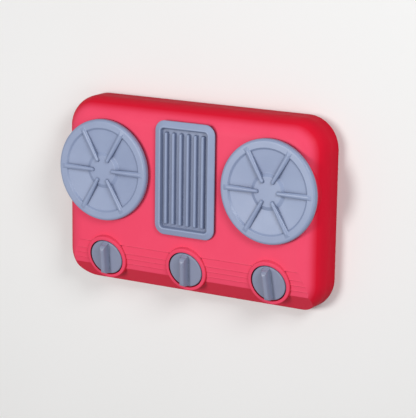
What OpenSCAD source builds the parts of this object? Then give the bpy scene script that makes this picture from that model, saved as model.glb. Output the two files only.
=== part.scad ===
// Toy hob: a hollow moulded housing with a stepped control panel, two round
// burner plates, a ribbed grill plate and three turning knobs.
// Lies flat, +Z up, knobs towards -Y. Origin on the ground under the middle.

/* [Housing] */
// width of the housing, left to right
body_w = 346; // [340:1:360]
// depth of the housing, front to back
body_d = 227; // [224:1:240]
// height of the flat top above the ground
body_h = 46; // [42:1:60]
// wall thickness of the moulding
wall = 2.5; // [2:0.1:3]
// corner radius seen from above
plan_r = 38; // [34:1:44]
// radius of the rounded edge round the top
edge_r = 28; // [24:1:30]
// thickness of the stiffening ribs under the top
rib_t = 1.8; // [1.2:0.2:2.4]
// how far the stiffening ribs hang down
rib_drop = 4; // [3:0.5:4]

/* [Control panel] */
// distance from the front wall to the step where the panel starts
panel_start = 52.6; // [51:0.2:54]
// height of each small step across the panel
step_rise = 0.45; // [0.2:0.05:0.6]
// height of the fine bead along each step
bead_h = 0.35; // [0.1:0.05:0.5]
// slope of the front lip below the panel
lip_angle = 45; // [40:1:50]
// rounding where the lip meets the front wall
lip_r = 10; // [4:1:12]

/* [Knobs] */
// distance between neighbouring knob axes
knob_pitch = 110.8; // [105:0.2:114]
// distance from the front wall to the knob axis
knob_in = 34.2; // [33:0.2:36]
// tilt of the knob axes towards the user
knob_tilt = 13; // [10:1:15]
// radius of the knob disc
knob_r = 21.6; // [20:0.1:22]
// height of the grip bar above the disc
grip_h = 10.4; // [9:0.2:13]
// thickness of the grip bar at its foot
grip_t = 8.4; // [7:0.2:10]
// resting turn of the left, middle and right knob
knob_turn = [-5, -6.5, 2]; // [-180:1:180]
// radius of the shaft that turns in the bearing
shaft_r = 5; // [4:0.1:5.5]

/* [Burner plates] */
// distance between the two burner centres
burner_span = 222; // [218:1:226]
// distance of the burner centres behind the middle of the housing
burner_y = 29.5; // [28:0.5:32]
// outer radius of a burner plate
burner_r = 61.2; // [58:0.2:62]
// height of the rim above the housing top
rim_h = 9; // [8:0.5:11]
// radius of the dished part
dish_r = 51.2; // [48:0.2:51.6]
// height of the hub in the middle of the dish
hub_h = 7.2; // [6.6:0.1:8]
// radius of the hub at its foot
hub_r = 21.8; // [18:0.2:24]
// number of pan support ribs
arm_n = 6; // [3:3:9]
// height of the support ribs above the rim
arm_lift = 1.3; // [0.5:0.1:2.5]

/* [Grill plate] */
// width of the grill plate
grill_w = 80.4; // [76:0.4:84]
// length of the grill plate
grill_l = 136.4; // [130:0.4:138]
// corner radius of the grill plate
grill_r = 13; // [11:0.5:16]
// height of the raised edge above the housing top
grill_h = 6.7; // [6.5:0.1:8]
// number of raised bars
bar_n = 6; // [4:1:7]
// distance between neighbouring bars
bar_pitch = 9.8; // [8.5:0.1:10]
// length of the bars
bar_l = 109; // [90:1:112]
// height of the bars above the floor between them
bar_h = 4.4; // [3:0.1:5]

/* [Screws] */
// length of a screw below its head
screw_l = 9; // [8:0.5:9.5]
// radius of a screw head
head_r = 3; // [2.6:0.1:3.4]

/* [Hidden] */
$fn = 96;

red = [0.90, 0.30, 0.41];
grey = [0.63, 0.69, 0.78];
steel = [0.74, 0.75, 0.77];

front = -body_d / 2;
skirt_gap = 3;               // clear height below the outer edge of the plates
seat_gap = 0.4;              // clear height below their inner walls
plate_t = 2;                 // wall of the burner and grill plates
shank_r = 1.4;
pilot_r = shank_r + 0.05;
pad_t = 2.5;                 // extra thickness round each screw hole
seat_in = 36;                // radius of the three burner feet
grill_y = burner_y;

// stepped panel: run and slope of each tread, from the back to the lip
tread_run = [10.1, 6.45, 6.6, 6.95];
tread_fall = [5, 9, 11, 15];
riser_run = 0.4;
bead_run = 0.8;

// knob place: middle of the collar's top ring
knob_y = front + knob_in;
knob_z = body_h - 0.6;
collar_r = 27.2;
collar_bore = knob_r + 1.3;
collar_in = 25.2;
ring_r = 1.6;                // rounding of the collar's upper edge
collar_foot = 16;            // how far the collar reaches down its axis
pocket_d = 6.5;              // depth of the pocket the knob sits in
bearing_end = 14;
cap_top = 0.2;               // top of the knob disc above the ring
bearing_r = 8.5;

// ---- outlines -----------------------------------------------------------

function turn(a) = [-sin(a), cos(a)];
// meeting point of two offset lines whose outer corner is p
function inset(p, n1, n2, t) = p - t * (n1 + n2) / (1 + n1 * n2);

function tread_y(i) = i == 0 ? front + panel_start : tread_y(i - 1) - tread_run[i - 1];
function tread_z(i) = i == 0 ? body_h
    : tread_z(i - 1) - step_rise - tread_run[i - 1] * tan(tread_fall[i - 1]);

crease = [tread_y(4), tread_z(4)];
lip_n = turn(lip_angle);
wall_n = [-1, 0];
lip_foot = [front, crease[1] - (crease[0] - front) * tan(lip_angle)];
lip_c = inset(lip_foot, lip_n, wall_n, lip_r);
slope_n = turn(atan((body_h - crease[1]) / (tread_y(0) - crease[0])));

// rounded rectangle
module plan(w, l, r) {
    square([w - 2 * r, l], center = true);
    square([w, l - 2 * r], center = true);
    for (x = [-1, 1], y = [-1, 1])
        translate([x * (w / 2 - r), y * (l / 2 - r)]) circle(r);
}

// upright section w wide and h high with its two top corners rounded
module arch(w, h, r) {
    translate([-w / 2, 0]) square([w, h - r]);
    translate([r - w / 2, 0]) square([w - 2 * r, h]);
    for (x = [-1, 1]) intersection() {
        translate([x * (w / 2 - r), h - r]) circle(r);
        translate([-w / 2, h - r]) square([w, r]);
    }
}

// block with rounded upright corners and a rounded top edge
module pillow(w, l, h, rp, re) {
    rotate([90, 0, 90]) linear_extrude(w - 2 * rp, center = true) arch(l, h, re);
    rotate([90, 0, 0]) linear_extrude(l - 2 * rp, center = true) arch(w, h, re);
    for (x = [-1, 1], y = [-1, 1])
        translate([x * (w / 2 - rp), y * (l / 2 - rp), 0])
            rotate_extrude() intersection() {
                arch(2 * rp, h, re);
                square([rp, h]);
            }
}

// side view of the housing, t inside its outer face
module side_view(t) {
    r = lip_r - t;
    edge = t == 0
        ? [for (i = [0:3]) let (y = tread_y(i), z = tread_z(i),
                                back = i == 0 ? 0 : tread_fall[i - 1])
               each [[y + bead_run, z + bead_run * tan(back)], [y, z + bead_h],
                     [y - riser_run, z - step_rise]]]
        : [[tread_y(0) - t / 4, body_h - t]];
    corner = t == 0 ? crease : inset(crease, slope_n, lip_n, t);
    polygon(concat([[body_d, -5], [front + t, -5], lip_c + r * wall_n, lip_c + r * lip_n,
                    corner], [for (i = [len(edge) - 1:-1:0]) edge[i]],
                   [[body_d, body_h - t]]));
    translate(lip_c) circle(r);
}

// housing without its openings, t inside the outer face
module hull_form(t) {
    intersection() {
        translate([0, 0, t > 0 ? -2 : 0])
            pillow(body_w - 2 * t, body_d - 2 * t, body_h - t + (t > 0 ? 2 : 0),
                   plan_r - t, edge_r - t);
        rotate([90, 0, 90]) linear_extrude(body_w + 10, center = true) side_view(t);
    }
    // round seats that carry the burners out over the rounded edge
    for (x = [-1, 1])
        translate([x * burner_span / 2, burner_y, body_h - edge_r - t])
            cylinder(r = burner_r - 3 - t, h = edge_r);
    // seat of the grill plate
    translate([0, grill_y, body_h - 12 - t])
        linear_extrude(12) plan(grill_w - 6 - 2 * t, grill_l - 6 - 2 * t, grill_r - 3);
}

// bead along the first step, where the flat top ends
module top_bead() {
    y = tread_y(0);
    half = body_w / 2 - edge_r;
    intersection() {
        rotate([90, 0, 90]) linear_extrude(body_w, center = true)
            polygon([[y + bead_run, body_h - 0.6], [y + bead_run, body_h], [y, body_h + bead_h],
                     [y - riser_run / 2, body_h + (bead_h - step_rise) / 2],
                     [y - riser_run / 2, body_h - 0.6]]);
        translate([0, y + 5, body_h]) rotate([90, 0, 0]) linear_extrude(10)
            polygon([[-half - 0.5, -0.5], [half + 0.5, -0.5], [half - 3, bead_h],
                     [3 - half, bead_h]]);
    }
}

// ---- places -------------------------------------------------------------

module at_knob(k) {
    translate([(k - 1) * knob_pitch, knob_y, knob_z]) rotate([knob_tilt, 0, 0]) children();
}

// side = -1 for the left burner, 1 for the right one
module at_burner(side) {
    translate([side * burner_span / 2, burner_y, body_h]) children();
}

module at_burner_feet(side) {
    for (a = [0:120:240]) rotate(a + (side > 0 ? 180 : 0)) translate([seat_in, 0, 0]) children();
}

grill_foot = [grill_w / 2 - grill_r + 8.1 * cos(45), grill_l / 2 - grill_r + 8.1 * sin(45)];
module at_grill_feet() {
    translate([0, grill_y, body_h])
        for (x = [-1, 1], y = [-1, 1])
            translate([x * grill_foot[0], y * grill_foot[1], 0]) children();
}

// ---- housing ------------------------------------------------------------

// ring and pocket that a knob sits in
module collar() {
    difference() {
        rotate_extrude() {
            polygon([[0, -collar_foot], [collar_r + 1.2, -collar_foot], [collar_r, -ring_r],
                     [collar_r - ring_r, 0], [0, 0]]);
            translate([collar_r - ring_r, -ring_r]) circle(ring_r);
        }
        translate([0, 0, -pocket_d]) cylinder(r = collar_bore, h = pocket_d + 1);
        translate([0, 0, -collar_foot - 1])
            cylinder(r = collar_in, h = collar_foot + 1 - pocket_d - wall);
    }
    // bearing tube with four gussets
    translate([0, 0, -bearing_end]) cylinder(r = bearing_r, h = bearing_end - pocket_d - 1);
    for (a = [45:90:315]) rotate(a)
        translate([bearing_r - 1, -rib_t / 2, -bearing_end + 1.5])
            cube([collar_in - bearing_r + 1.5, rib_t, bearing_end - pocket_d - 2.5]);
}

module stiffeners() {
    top = body_h - wall;
    for (y = [14, 45])
        translate([-150, y, top - rib_drop]) cube([300, rib_t, rib_drop + 1]);
    for (x = [-100, -50, 50, 100])
        translate([x - rib_t / 2, -44, top - rib_drop]) cube([rib_t, 134, rib_drop + 1]);
}

module body_shell() color(red)
    difference() {
        union() {
            difference() {
                union() {
                    hull_form(0);
                    top_bead();
                }
                hull_form(wall);
                for (k = [0:2]) at_knob(k)
                    translate([0, 0, -26]) cylinder(r = collar_in, h = 40);
            }
            for (k = [0:2]) at_knob(k) collar();
            stiffeners();
            for (s = [-1, 1]) at_burner(s) at_burner_feet(s)
                translate([0, 0, -wall - pad_t]) cylinder(r = 6, h = pad_t + 1);
            at_grill_feet() translate([0, 0, -wall - pad_t]) cylinder(r = 5.5, h = pad_t + 1);
        }
        for (k = [0:2]) at_knob(k)
            translate([0, 0, -bearing_end - 1]) cylinder(r = shaft_r + 0.06, h = bearing_end);
        for (s = [-1, 1]) at_burner(s) at_burner_feet(s)
            translate([0, 0, -10]) cylinder(r = 1.75, h = 20);
        at_grill_feet() translate([0, 0, -10]) cylinder(r = 1.75, h = 20);
    }

// ---- burner plates ------------------------------------------------------

dish_floor = 7;              // height of the dish floor at its outer edge
hub_foot = 5.2;              // and where the hub rises from it
hub_slope = 4.4;             // width of the sloping edge of the hub
wall_slope = 2.2;            // width of the sloping wall round the dish
ring_foot = burner_r - 7;    // inner wall below the rim, hidden in its shade
arm_in = 11.5;
arm_out = burner_r - 3.7;
arm_r1 = 2;
arm_r2 = 3.7;
arm_top = rim_h + arm_lift;

// half section through a burner plate, t inside its upper face
module burner_half(t) {
    re = 3.5 - t;
    polygon([[0, -1], [0, hub_h - t], [hub_r - hub_slope - 0.23 * t, hub_h - t],
             [hub_r - 0.2 * t, hub_foot - t],
             [dish_r - wall_slope + 0.42 * t, dish_floor - t],
             [dish_r + 0.37 * t, rim_h - t], [burner_r - 3.5, rim_h - t], [burner_r - 3.5, 5],
             [burner_r - t, 5], [burner_r - t, -1]]);
    translate([burner_r - 3.5, rim_h - 3.5]) circle(re);
}

module burner_bowl() {
    rotate_extrude($fn = 144) {
        difference() {
            burner_half(0);
            burner_half(plate_t);
            translate([0, -2]) square([burner_r + 1, 2 + skirt_gap]);
        }
        translate([ring_foot, seat_gap]) square([1.6, rim_h - 1 - seat_gap]);
    }
}

// one pan support: a tapering round-topped bar that runs out on the rim
module arm() {
    x1 = arm_in + arm_r1;
    x2 = arm_out - arm_r2;
    bulge = 1.12;            // top radius over half width
    z1 = arm_top - arm_r1 * bulge;
    z2 = arm_top - arm_r2 * bulge;
    lean = atan((z1 - z2) / (x2 - x1));
    reach = norm([x2 - x1, z1 - z2]);
    grow = (arm_r2 - arm_r1) * bulge / reach;
    intersection() {
        translate([0, 0, 3]) linear_extrude(arm_top) {
            polygon([[x1, -arm_r1], [x2, -arm_r2], [x2, arm_r2], [x1, arm_r1]]);
            translate([x1, 0]) circle(arm_r1);
            translate([x2, 0]) circle(arm_r2);
        }
        union() {
            translate([x1, 0, z1]) rotate([0, 90 + lean, 0]) translate([0, 0, -5])
                cylinder(r1 = arm_r1 * bulge - 5 * grow, r2 = arm_r2 * bulge + 5 * grow,
                         h = reach + 10);
            rotate([90, 0, 0]) linear_extrude(10, center = true)
                polygon([[x1 - 4, 0], [x2 + 4, 0], [x2 + 4, z2 - 4 * grow], [x1 - 4, z1]]);
        }
        rotate([90, 0, 0]) linear_extrude(10, center = true) {
            polygon([[arm_in, hub_foot - 1.2], [hub_r, hub_foot - 1.2],
                     [dish_r - wall_slope, dish_floor - 1], [arm_out, rim_h - 1.2],
                     [arm_out, rim_h - 0.3], [arm_out - 5.5, arm_top],
                     [arm_in + 3, arm_top], [arm_in, arm_top - 3]]);
            translate([arm_in + 3, arm_top - 3]) circle(3);
        }
    }
}

module burner_plate(side) color(grey)
    at_burner(side) difference() {
        union() {
            burner_bowl();
            for (k = [0:arm_n - 1]) rotate(k * 360 / arm_n) arm();
            at_burner_feet(side) cylinder(r = 4.5, h = 4.7);
        }
        at_burner_feet(side) translate([0, 0, -1]) cylinder(r = pilot_r, h = 5.7);
    }

// ---- grill plate --------------------------------------------------------

frame_t = 8.9;               // width of the raised frame
floor_h = 2;
crest_r = 1.6;
brow_r = 2;
bar_r = 2;

// section of the frame, x = 0 at its outer face
module frame_section() {
    a = [-frame_t + crest_r, grill_h - crest_r];
    b = [-brow_r, grill_h - 4.1];
    d = b - a;
    tilt = atan2(d[1], d[0]) + asin((brow_r - crest_r) / norm(d));
    n = turn(tilt);
    difference() {
        union() {
            polygon([[-frame_t - 1.2, seat_gap], [-frame_t - 1.2, floor_h],
                     [-frame_t + 0.3, grill_h - 1.3], a + crest_r * n, b + brow_r * n,
                     [0, b[1]], [0, seat_gap]]);
            translate(a) circle(crest_r);
            translate(b) circle(brow_r);
        }
        polygon([[2 - frame_t, -1], [2 - frame_t, grill_h - 2.3], [3 - frame_t, grill_h - 2.3],
                 [-1.8, skirt_gap - 0.2], [-1.8, -1]]);
        translate([-3, -2]) square([4, 2 + skirt_gap]);
    }
}

// carries a section round the outline of the plate
module round_plan(w, l, r) {
    for (q = [0:3]) {
        long = q % 2 == 0 ? l : w;
        out = q % 2 == 0 ? w : l;
        rotate(q * 90) translate([out / 2, 0, 0]) rotate([90, 0, 0])
            linear_extrude(long - 2 * r, center = true) children();
        rotate(q * 90) translate([out / 2 - r, long / 2 - r, 0])
            rotate_extrude(angle = 90) translate([r, 0]) children();
    }
}

// one bar along Y, standing on the floor of the plate
module grill_bar() {
    intersection() {
        linear_extrude(bar_h + 2) {
            square([2 * bar_r + 0.8, bar_l - 2 * bar_r], center = true);
            for (s = [-1, 1]) translate([0, s * (bar_l / 2 - bar_r)]) circle(bar_r + 0.4);
        }
        rotate([90, 0, 0]) linear_extrude(bar_l + 4, center = true) {
            polygon([[-bar_r - 0.4, -1], [bar_r + 0.4, -1], [bar_r, bar_h - bar_r],
                     [-bar_r, bar_h - bar_r]]);
            translate([0, bar_h - bar_r]) circle(bar_r);
        }
        rotate([90, 0, 90]) linear_extrude(2 * bar_r + 2, center = true) {
            half = bar_l / 2 + 0.4;
            polygon([[-half, -1], [half, -1], [half - 0.4, bar_h - 1.8], [half - 2.2, bar_h],
                     [2.2 - half, bar_h], [0.4 - half, bar_h - 1.8]]);
            for (s = [-1, 1]) translate([s * (half - 2.2), bar_h - 1.8]) circle(1.8);
        }
    }
}

module grill_plate() color(grey)
    difference() {
        union() {
            translate([0, grill_y, body_h]) {
                round_plan(grill_w, grill_l, grill_r) frame_section();
                translate([0, 0, seat_gap]) linear_extrude(floor_h - seat_gap)
                    plan(grill_w - 2 * frame_t + 2, grill_l - 2 * frame_t + 2,
                         grill_r - frame_t + 1);
                for (i = [0:bar_n - 1])
                    translate([(i - (bar_n - 1) / 2) * bar_pitch, 0, floor_h]) grill_bar();
            }
            at_grill_feet() cylinder(r = 3, h = grill_h - 2.2);
        }
        at_grill_feet() translate([0, 0, -1]) cylinder(r = pilot_r, h = grill_h - 1.4);
    }

// ---- knobs --------------------------------------------------------------

module knob(k) color(grey)
    at_knob(k) rotate(knob_turn[k]) difference() {
        union() {
            // cap with a rolled edge
            rotate_extrude() difference() {
                union() {
                    translate([0, -5.5]) square([knob_r, cap_top + 4]);
                    translate([0, -5.5]) square([knob_r - 1.5, cap_top + 5.5]);
                    translate([knob_r - 1.5, cap_top - 1.5]) circle(1.5);
                }
                translate([0, -6]) square([knob_r - 2, cap_top + 3.8]);
            }
            grip();
            // thrust shoulder and shaft
            translate([0, 0, -pocket_d + 0.15]) cylinder(r = 8, h = pocket_d - 1);
            translate([0, 0, -bearing_end - 0.2]) cylinder(r = shaft_r, h = bearing_end - 1);
        }
        translate([0, 0, -bearing_end - 1]) cylinder(r = pilot_r, h = screw_l + 0.6);
    }

// finger bar across the cap
module grip() {
    top = cap_top + grip_h;
    r = grip_t / 2 - 0.9;
    half = knob_r - 0.8;
    lean = 2;
    end_r = 6.6;
    intersection() {
        rotate([90, 0, 0]) linear_extrude(2 * knob_r, center = true) {
            polygon([[-grip_t / 2, -0.5], [grip_t / 2, -0.5], [r, top - r], [-r, top - r]]);
            translate([0, top - r]) circle(r);
        }
        rotate([90, 0, 90]) linear_extrude(grip_t + 2, center = true) {
            polygon([[-half, -0.5], [half, -0.5], [half - lean, top - end_r],
                     [half - lean - end_r, top], [end_r + lean - half, top],
                     [lean - half, top - end_r]]);
            for (s = [-1, 1]) translate([s * (half - lean - end_r), top - end_r]) circle(end_r);
        }
    }
}

module knob_washer(k) color(steel)
    at_knob(k) translate([0, 0, -bearing_end - 1.2]) difference() {
        cylinder(r = 8, h = 1);
        translate([0, 0, -1]) cylinder(r = 1.75, h = 3);
    }

// ---- screws -------------------------------------------------------------

// cross-slotted screw, head below, underside of the head at z = 0
module screw(l) {
    difference() {
        rotate_extrude() intersection() {
            union() {
                translate([0, -0.8]) square([head_r, 0.8]);
                translate([0, 1.3]) circle(3.35);
            }
            translate([0, -2]) square([head_r, 2]);
        }
        for (a = [0, 90]) rotate(a) translate([-1.6, -0.3, -3]) cube([3.2, 0.6, 2.1]);
    }
    translate([0, 0, -0.1]) cylinder(r = shank_r, h = l - 1.3);
    translate([0, 0, l - 1.4]) cylinder(r1 = shank_r, r2 = 0.5, h = 1.4);
}

module burner_screws(side) color(steel)
    at_burner(side) at_burner_feet(side) translate([0, 0, -wall - pad_t]) screw(screw_l);

module grill_screws() color(steel)
    at_grill_feet() translate([0, 0, -wall - pad_t]) screw(screw_l);

module knob_screw(k) color(steel)
    at_knob(k) rotate(30 + k * 35) translate([0, 0, -bearing_end - 1.2]) screw(screw_l);

// ---- build --------------------------------------------------------------

body_shell();
burner_plate(-1);  // burner_left
burner_plate(1);  // burner_right
burner_screws(-1);  // burner_screws_left
burner_screws(1);  // burner_screws_right
grill_plate();
grill_screws();
knob(0);  // knob_left
knob(1);  // knob_centre
knob(2);  // knob_right
knob_washer(0);  // knob_washer_left
knob_washer(1);  // knob_washer_centre
knob_washer(2);  // knob_washer_right
knob_screw(0);  // knob_screw_left
knob_screw(1);  // knob_screw_centre
knob_screw(2);  // knob_screw_right
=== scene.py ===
import math
import bpy
from mathutils import Matrix, Vector

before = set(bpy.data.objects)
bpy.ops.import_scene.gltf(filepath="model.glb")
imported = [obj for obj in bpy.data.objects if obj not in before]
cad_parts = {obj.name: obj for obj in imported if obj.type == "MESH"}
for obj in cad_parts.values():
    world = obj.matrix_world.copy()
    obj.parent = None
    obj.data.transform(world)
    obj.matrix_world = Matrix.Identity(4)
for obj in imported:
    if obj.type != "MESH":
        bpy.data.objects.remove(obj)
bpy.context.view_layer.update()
print("hob loaded")


# a socket that can stand in a sum
class Wire:
    def __init__(self, paint, socket):
        self.paint = paint
        self.socket = socket

    def sum(self, operation, a, b):
        return self.paint.node("ShaderNodeMath", {"operation": operation}, {0: a, 1: b})

    def __add__(self, other):
        return self.sum("ADD", self, other)

    def __radd__(self, other):
        return self.sum("ADD", other, self)

    def __sub__(self, other):
        return self.sum("SUBTRACT", self, other)

    def __rsub__(self, other):
        return self.sum("SUBTRACT", other, self)

    def __mul__(self, other):
        return self.sum("MULTIPLY", self, other)

    def __rmul__(self, other):
        return self.sum("MULTIPLY", other, self)


# one material and the nodes in it
class Paint:
    def __init__(self, name):
        self.material = bpy.data.materials.new(name)
        self.material.use_nodes = True
        self.tree = self.material.node_tree
        self.tree.nodes.clear()

    def node(self, kind, settings=None, inputs=None, out=0):
        made = self.tree.nodes.new(kind)
        for key, value in (settings or {}).items():
            setattr(made, key, value)
        for key, value in (inputs or {}).items():
            if isinstance(value, Wire):
                self.tree.links.new(value.socket, made.inputs[key])
            else:
                made.inputs[key].default_value = value
        return Wire(self, made.outputs[out] if made.outputs else None)

    def noise(self, place, scale, detail=3.0, roughness=0.5):
        return self.node("ShaderNodeTexNoise", {}, {"Vector": place, "Scale": scale,
                         "Detail": detail, "Roughness": roughness})

    # 0 at the first value of the range, 1 at the second
    def ramp(self, value, span):
        return self.node("ShaderNodeMapRange", {"clamp": True},
                         {"Value": value, "From Min": span[0], "From Max": span[1]})

    def mix(self, factor, first, second):
        return self.node("ShaderNodeMix", {"data_type": "RGBA"},
                         {"Factor": factor, "A": first, "B": second}, "Result")

    def height(self, vector):
        return self.node("ShaderNodeSeparateXYZ", {}, {0: vector}, "Z")

    def finish(self, sockets):
        surface = self.node("ShaderNodeBsdfPrincipled", {}, sockets)
        self.node("ShaderNodeOutputMaterial", {}, {"Surface": surface})
        return self.material


def rgb(r, g, b):
    # colour as seen on a screen, 0 to 255, to the linear values a shader takes
    return tuple(((c / 255 + 0.055) / 1.055) ** 2.4 for c in (r, g, b)) + (1.0,)


# what all the mouldings share; lengths in metres, scales per metre
moulding = {
    "driftSpan": (0.32, 0.68), "mottleSpan": (0.3, 0.7), "driftShare": 0.75,
    # settings for the painted crease shade, the painted slope shade and the partly painted
    # edge highlight
    "creaseShadeSamples": 12, "slopeShadeRamp": (0.10, 0.38),
    "bevelSamples": 6, "edgeLeanSpan": (0.02, 0.25), "edgePatchScale": 90.0, "edgePatchSpan": (0.35, 0.6),
    "hairTurns": (0.4, -0.9), "hairStretch": (26.0, 900.0, 900.0), "hairSpan": (0.70, 0.76),
    "scuffScale": 14.0, "scuffSpan": (0.5, 0.7), "skinGrit": 0.6,
    "roughness": 0.42, "mottleRoughness": 0.08, "scuffRoughness": 0.12, "ior": 1.49,
    "bumpStrength": 0.35, "driftHeight": 4.0, "scuffHeight": 0.6,
}


def paintedCreaseShade(paint, look):
    # painted shade: darker where two faces meet, and a painted shadow under the rims of the
    # plates, found by an occlusion test
    openness = paint.node("ShaderNodeAmbientOcclusion", {"samples": look["creaseShadeSamples"]},
                          {"Distance": look["creaseShadeReach"]}, "AO")
    return paint.ramp(1 - openness, look["creaseShadeSpan"]) * look["creaseShadeDepth"]


def paintedSlopeShade(paint, look, place):
    # painted shade: walls and slopes are coloured a deeper tone than the faces that lie flat
    facing = paint.node("ShaderNodeTexCoord", out="Normal")
    slopeShade = paint.ramp(1 - paint.height(facing), look["slopeShadeRamp"]) * look["slopeShadeDepth"]
    if "slopeShadeFade" in look:
        # on the housing the painted shade fades out towards the top panel
        slopeShade = slopeShade * paint.ramp(paint.height(place), look["slopeShadeFade"])
    return slopeShade


def wornAndHighlitEdges(paint, look, place, soft):
    # lighter in patches where the rounded normal leans away from the face: partly edge wear,
    # partly a painted highlight on the edges
    flat = paint.node("ShaderNodeNewGeometry", out="Normal")
    lean = 1 - paint.node("ShaderNodeVectorMath", {"operation": "DOT_PRODUCT"},
                          {0: soft, 1: flat}, "Value")
    patches = paint.ramp(paint.noise(place, look["edgePatchScale"]), look["edgePatchSpan"])
    return paint.ramp(lean, look["edgeLeanSpan"]) * patches * look["edgeWearAndHighlight"]


def hairScratches(paint, look, place):
    # two stretched noises cut thin, only in some patches
    hairs = []
    for turn in look["hairTurns"]:
        along = paint.node("ShaderNodeMapping", {}, {"Vector": place,
                           "Rotation": (0.0, 0.0, turn), "Scale": look["hairStretch"]})
        hairs.append(paint.ramp(paint.noise(along, 1.0, 1.0), look["hairSpan"]))
    patches = paint.ramp(paint.noise(place, look["scuffScale"]), look["scuffSpan"])
    return (hairs[0] + hairs[1]) * patches


def mouldedPlastic(look):
    paint = Paint(look["name"])
    place = paint.node("ShaderNodeTexCoord", out="Object")
    # slow drift of tone through the moulding, a finer mottle on top
    drift = paint.ramp(paint.noise(place, look["driftScale"], 2.0), look["driftSpan"])
    mottle = paint.ramp(paint.noise(place, look["mottleScale"], 4.0), look["mottleSpan"])
    tone = drift * look["driftShare"] + mottle * (1 - look["driftShare"])
    colour = paint.mix(tone, look["colourA"], look["colourB"])
    # painted shade in the creases and under the plates' rims
    colour = paint.mix(paintedCreaseShade(paint, look), colour, look["creaseShadeColour"])
    # painted shade on walls and slopes, by how far the face turns from flat
    colour = paint.mix(paintedSlopeShade(paint, look, place), colour, look["slopeShadeColour"])
    soft = paint.node("ShaderNodeBevel", {"samples": look["bevelSamples"]},
                      {"Radius": look["edgeRadius"]})
    # lighter edges: partly wear, partly a painted highlight
    colour = paint.mix(wornAndHighlitEdges(paint, look, place, soft), colour, look["edgeWearHighlightColour"])
    scuff = hairScratches(paint, look, place)
    skin = paint.noise(place, look["skinScale"], 3.0, look["skinGrit"])
    relief = skin + drift * look["driftHeight"] - scuff * look["scuffHeight"]
    bump = paint.node("ShaderNodeBump", {}, {"Strength": look["bumpStrength"],
                      "Distance": look["skinDepth"], "Height": relief, "Normal": soft})
    roughness = (look["roughness"] + (mottle - 0.5) * look["mottleRoughness"]
                 + scuff * look["scuffRoughness"])
    return paint.finish({"Base Color": colour, "Roughness": roughness, "Normal": bump,
                         "IOR": look["ior"], "Specular IOR Level": look["specular"]})


redPlastic = dict(
    moulding, name="coralRedMoulding",
    colourA=rgb(237, 73, 103), colourB=rgb(241, 79, 109),
    # edge colour: partly wear, partly painted highlight; crease and wall colours: painted
    # shade
    edgeWearHighlightColour=rgb(248, 124, 146), edgeWearAndHighlight=0.6, edgeRadius=0.0009,
    creaseShadeColour=rgb(58, 16, 32), creaseShadeDepth=0.95, creaseShadeReach=0.007, creaseShadeSpan=(0.34, 0.60),
    slopeShadeColour=rgb(222, 8, 40), slopeShadeDepth=0.9, slopeShadeFade=(0.0475, 0.039),
    driftScale=9.0, mottleScale=70.0, skinScale=1100.0, skinDepth=0.00006, specular=0.05)

grillPlastic = dict(
    moulding, name="blueGreyMoulding", roughness=0.38,
    colourA=rgb(141, 153, 183), colourB=rgb(147, 160, 189),
    # edge colour: partly wear, partly painted highlight; crease and wall colours: painted
    # shade
    edgeWearHighlightColour=rgb(200, 210, 230), edgeWearAndHighlight=0.4, edgeRadius=0.001,
    creaseShadeColour=rgb(62, 70, 102), creaseShadeDepth=0.9, creaseShadeReach=0.014, creaseShadeSpan=(0.07, 0.72),
    slopeShadeColour=rgb(140, 152, 182), slopeShadeDepth=0.3,
    driftScale=14.0, mottleScale=80.0, skinScale=1200.0, skinDepth=0.00005, specular=0.5)

# burner plates: a shorter, lighter painted crease shade and no painted slope shade
burnerPlastic = dict(grillPlastic, name="burnerGreyMoulding", creaseShadeReach=0.007,
                     creaseShadeDepth=0.75, slopeShadeDepth=0.0)

# knobs: their own grey, with a lighter and shorter painted crease shade
knobPlastic = dict(grillPlastic, name="knobGreyMoulding", colourA=rgb(137, 142, 165),
                   colourB=rgb(142, 148, 171), creaseShadeDepth=0.45,
                   edgeRadius=0.002, creaseShadeReach=0.006)

zinc = {
    "name": "zincPlatedSteel", "colourA": rgb(186, 188, 190), "colourB": rgb(208, 208, 204),
    "bloomScale": 700.0, "bloomSpan": (0.3, 0.7), "roughness": 0.3, "bloomRoughness": 0.15,
    "dullScale": 2500.0, "bumpStrength": 0.2, "dullDepth": 0.00002,
}


def platedSteel(look):
    paint = Paint(look["name"])
    place = paint.node("ShaderNodeTexCoord", out="Object")
    bloom = paint.ramp(paint.noise(place, look["bloomScale"], 4.0), look["bloomSpan"])
    dull = paint.noise(place, look["dullScale"], 2.0)
    bump = paint.node("ShaderNodeBump", {}, {"Strength": look["bumpStrength"],
                      "Distance": look["dullDepth"], "Height": dull})
    return paint.finish({"Base Color": paint.mix(bloom, look["colourA"], look["colourB"]),
                         "Roughness": look["roughness"] + bloom * look["bloomRoughness"],
                         "Metallic": 1.0, "Normal": bump})


housingRed = mouldedPlastic(redPlastic)
grillGrey = mouldedPlastic(grillPlastic)
burnerGrey = mouldedPlastic(burnerPlastic)
knobGrey = mouldedPlastic(knobPlastic)
steel = platedSteel(zinc)


def coatFor(name):
    if name == "body_shell":
        return housingRed
    if "screw" in name or "washer" in name:
        return steel
    if name.startswith("knob"):
        return knobGrey
    if name.startswith("burner"):
        return burnerGrey
    return grillGrey


for name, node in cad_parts.items():
    node.data.materials.clear()
    node.data.materials.append(coatFor(name))
print("materials on", len(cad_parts), "nodes")


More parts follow.
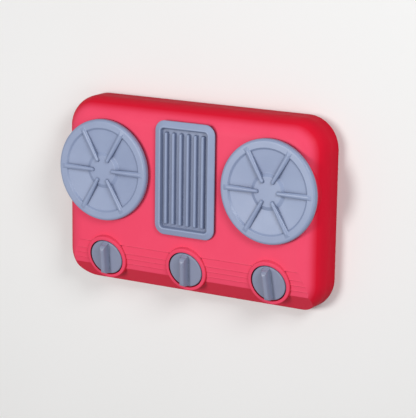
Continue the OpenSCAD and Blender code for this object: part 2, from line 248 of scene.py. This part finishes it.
studio = {
    "floorSize": 6.0, "floorColour": rgb(236, 235, 233), "floorPatch": rgb(240, 239, 238),
    "floorShade": rgb(185, 185, 185), "patchScale": 3.0,
    "floorRoughness": 0.9, "floorSpecular": 0.1,
    "skyColour": (0.95, 0.97, 1.0, 1.0), "skyStrength": 0.27,
    "lampAim": (0.0, 0.0, 0.03),
    "lamps": {
        "keyLamp": {"place": (-0.50, 0.10, 1.60), "size": 0.55, "watts": 14.4,
                    "colour": (1.0, 0.99, 0.98)},
        "sideLamp": {"place": (1.50, -0.35, 1.60), "size": 1.1, "watts": 4.0,
                     "colour": (0.98, 0.99, 1.0)},
        "edgeLamp": {"place": (1.15, 0.85, 0.95), "size": 0.6, "watts": 12.0,
                     "colour": (0.97, 0.99, 1.0)},
    },
}


def paleFloor():
    paint = Paint("paleFloor")
    place = paint.node("ShaderNodeTexCoord", out="Object")
    tone = paint.mix(paint.noise(place, studio["patchScale"], 2.0), studio["floorColour"],
                     studio["floorPatch"])
    # pale where the camera sees it, a little darker for the light it sends back
    seen = paint.node("ShaderNodeLightPath", out="Is Camera Ray")
    tone = paint.mix(seen, studio["floorShade"], tone)
    return paint.finish({"Base Color": tone, "Roughness": studio["floorRoughness"],
                         "Specular IOR Level": studio["floorSpecular"]})


bpy.ops.mesh.primitive_plane_add(size=studio["floorSize"], location=(0, 0, 0))
floor = bpy.context.object
floor.name = "studioFloor"
floor.data.materials.append(paleFloor())

world = bpy.data.worlds.new("studioSky")
world.use_nodes = True
background = world.node_tree.nodes["Background"]
background.inputs["Color"].default_value = studio["skyColour"]
background.inputs["Strength"].default_value = studio["skyStrength"]
bpy.context.scene.world = world


def hangLamp(name, settings):
    lamp = bpy.data.lights.new(name, "AREA")
    lamp.shape = "DISK"
    lamp.size = settings["size"]
    lamp.energy = settings["watts"]
    lamp.color = settings["colour"]
    holder = bpy.data.objects.new(name, lamp)
    holder.location = settings["place"]
    beam = Vector(studio["lampAim"]) - Vector(settings["place"])
    holder.rotation_euler = beam.to_track_quat("-Z", "Y").to_euler()
    bpy.context.collection.objects.link(holder)


for name, settings in studio["lamps"].items():
    hangLamp(name, settings)

# the photograph's own viewpoint: turn about each axis in degrees, then a shift in metres
view = {
    "tip": 12.913, "swing": -29.697, "roll": -0.787,
    "shift": (-0.02763, -0.00380, -2.0201), "centre": (0.0037, -0.0069, 0.0555),
    "focalPixels": 1737.5, "framePixels": 418, "sensor": 36.0, "clipStart": 0.05,
}


def placeCamera():
    turned = (Matrix.Rotation(math.radians(view["roll"]), 3, "Z")
              @ Matrix.Rotation(math.radians(view["tip"]), 3, "X")
              @ Matrix.Rotation(math.radians(view["swing"]), 3, "Y"))
    lens = bpy.data.cameras.new("photoCamera")
    lens.sensor_width = view["sensor"]
    lens.lens = view["focalPixels"] * view["sensor"] / view["framePixels"]
    lens.clip_start = view["clipStart"]
    camera = bpy.data.objects.new("photoCamera", lens)
    eye = Vector(view["centre"]) - turned.transposed() @ Vector(view["shift"])
    camera.matrix_world = Matrix.Translation(eye) @ turned.transposed().to_4x4()
    bpy.context.collection.objects.link(camera)
    return camera


bpy.context.scene.camera = placeCamera()
bpy.context.scene.view_settings.view_transform = "Standard"
print("studio set")
